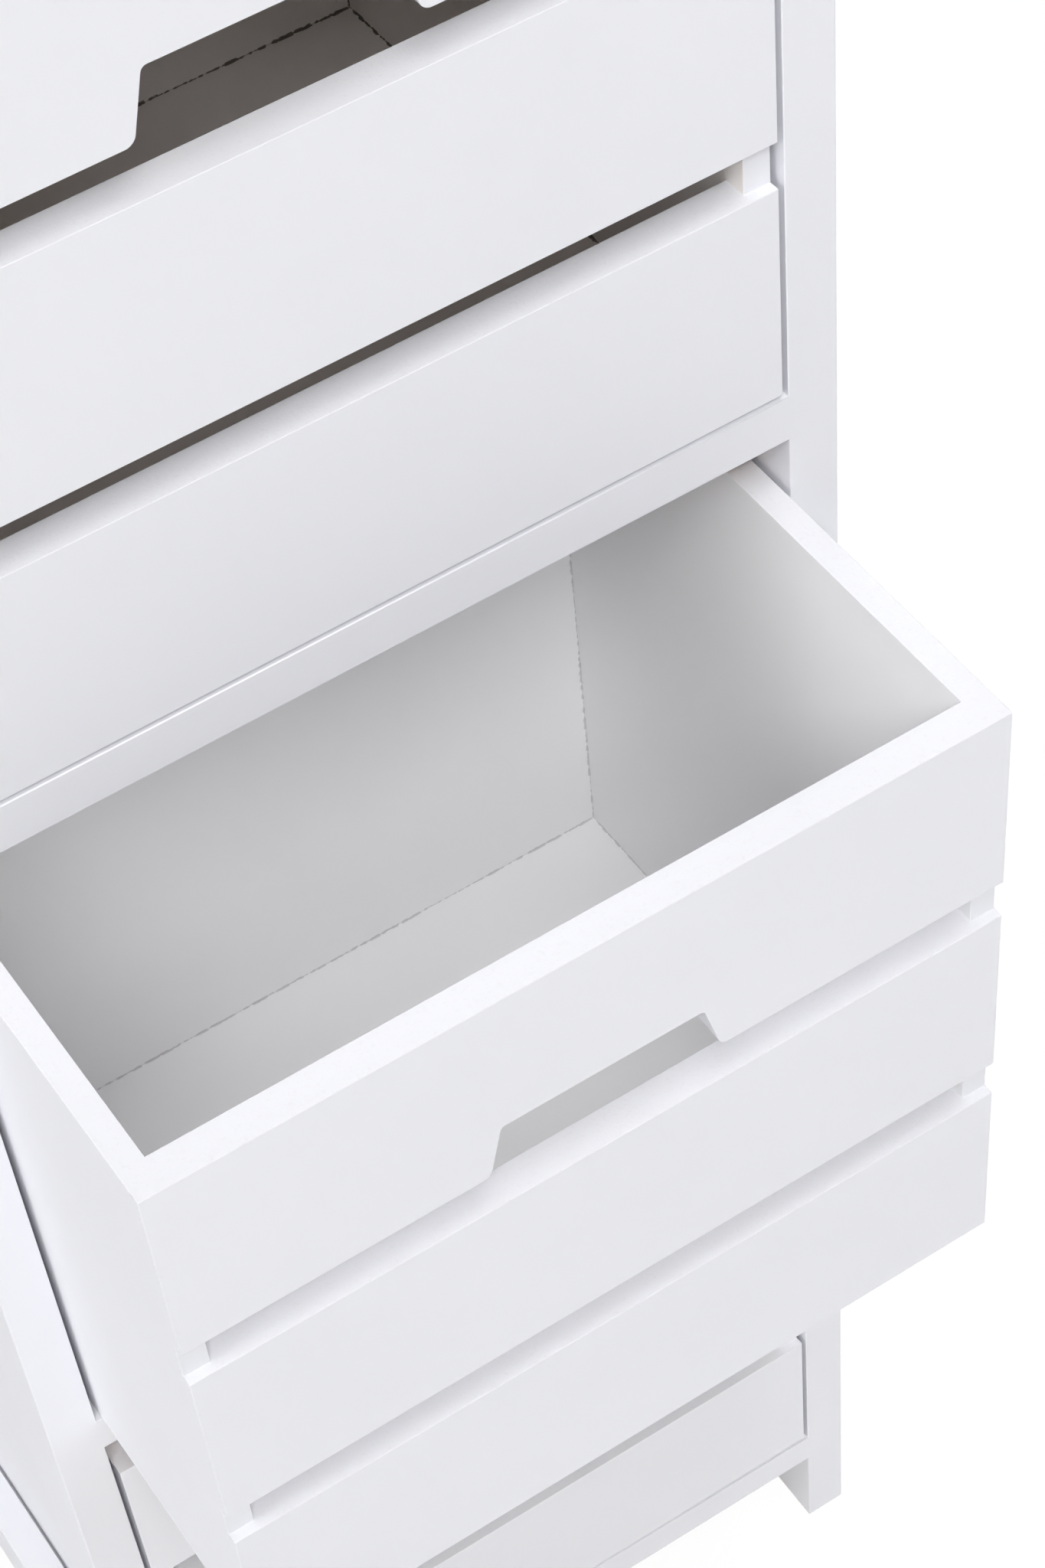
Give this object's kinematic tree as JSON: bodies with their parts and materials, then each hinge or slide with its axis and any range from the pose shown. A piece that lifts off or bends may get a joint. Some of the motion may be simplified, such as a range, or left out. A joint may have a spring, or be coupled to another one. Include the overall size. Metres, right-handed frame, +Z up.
{
  "type": "bathroom storage tower",
  "caption": "Tall narrow white bathroom cabinet on legs, with stacked box drawers whose fronts are spaced slats with a finger cut-out.",
  "frame": {"origin": "on the floor, midway across the width and midway between the open drawer's front and the back panel's rear face", "axes": "+X to the right seen from the front, +Y from the front to the back, +Z up"},
  "size_m": [0.45, 0.4764, 1.2845],
  "materials": {
    "white_painted_wood": "satin white paint over smooth wood board",
    "white_panel": "satin white lacquer on thin board",
    "bare_wood": "bare planed softwood",
    "zinc_steel": "bright zinc plating"
  },
  "bodies": {
    "cabinet": {"post_front_left": "white_painted_wood", "post_front_right": "white_painted_wood", "post_rear_left": "white_painted_wood", "post_rear_right": "white_painted_wood", "front_rail_bottom": "white_painted_wood", "front_rail_lower": "white_painted_wood", "front_rail_upper": "white_painted_wood", "front_rail_top": "white_painted_wood", "rear_rail_bottom": "bare_wood", "rear_rail_lower": "bare_wood", "rear_rail_upper": "bare_wood", "rear_rail_top": "bare_wood", "side_rail_bottom_left": "white_painted_wood", "side_rail_bottom_right": "white_painted_wood", "side_rail_top_left": "white_painted_wood", "side_rail_top_right": "white_painted_wood", "side_panel_left": "white_panel", "side_panel_right": "white_panel", "runner_bottom_left": "bare_wood", "runner_bottom_right": "bare_wood", "runner_lower_left": "bare_wood", "runner_lower_right": "bare_wood", "runner_upper_left": "bare_wood", "runner_upper_right": "bare_wood", "runner_top_left": "bare_wood", "runner_top_right": "bare_wood", "back_panel": "white_panel", "top_board": "white_painted_wood", "drawer_stops": "bare_wood", "stop_screws": "zinc_steel", "frame_dowels": "bare_wood", "runner_screws": "zinc_steel", "back_panel_nails": "zinc_steel"},
    "drawer_bottom": {"drawer_bottom_slat_top": "white_painted_wood", "drawer_bottom_slat_middle": "white_painted_wood", "drawer_bottom_slat_bottom": "white_painted_wood", "drawer_bottom_side_left": "white_painted_wood", "drawer_bottom_side_right": "white_painted_wood", "drawer_bottom_back": "white_painted_wood", "drawer_bottom_floor": "white_panel", "drawer_bottom_dowels": "bare_wood"},
    "drawer_middle": {"drawer_middle_slat_top": "white_painted_wood", "drawer_middle_slat_middle": "white_painted_wood", "drawer_middle_slat_bottom": "white_painted_wood", "drawer_middle_side_left": "white_painted_wood", "drawer_middle_side_right": "white_painted_wood", "drawer_middle_back": "white_painted_wood", "drawer_middle_floor": "white_panel", "drawer_middle_dowels": "bare_wood"},
    "drawer_top": {"drawer_top_slat_top": "white_painted_wood", "drawer_top_slat_middle": "white_painted_wood", "drawer_top_slat_bottom": "white_painted_wood", "drawer_top_side_left": "white_painted_wood", "drawer_top_side_right": "white_painted_wood", "drawer_top_back": "white_painted_wood", "drawer_top_floor": "white_panel", "drawer_top_dowels": "bare_wood"}
  },
  "joints": [
    {"name": "drawer_bottom_slide", "type": "slide", "parent": "cabinet", "child": "drawer_bottom", "axis": [0, -1, 0], "range_m": [0, 0.2444]},
    {"name": "drawer_middle_slide", "type": "slide", "parent": "cabinet", "child": "drawer_middle", "axis": [0, -1, 0], "range_m": [-0.1463, 0.0981]},
    {"name": "drawer_top_slide", "type": "slide", "parent": "cabinet", "child": "drawer_top", "axis": [0, -1, 0], "range_m": [0, 0.2444]}
  ]
}
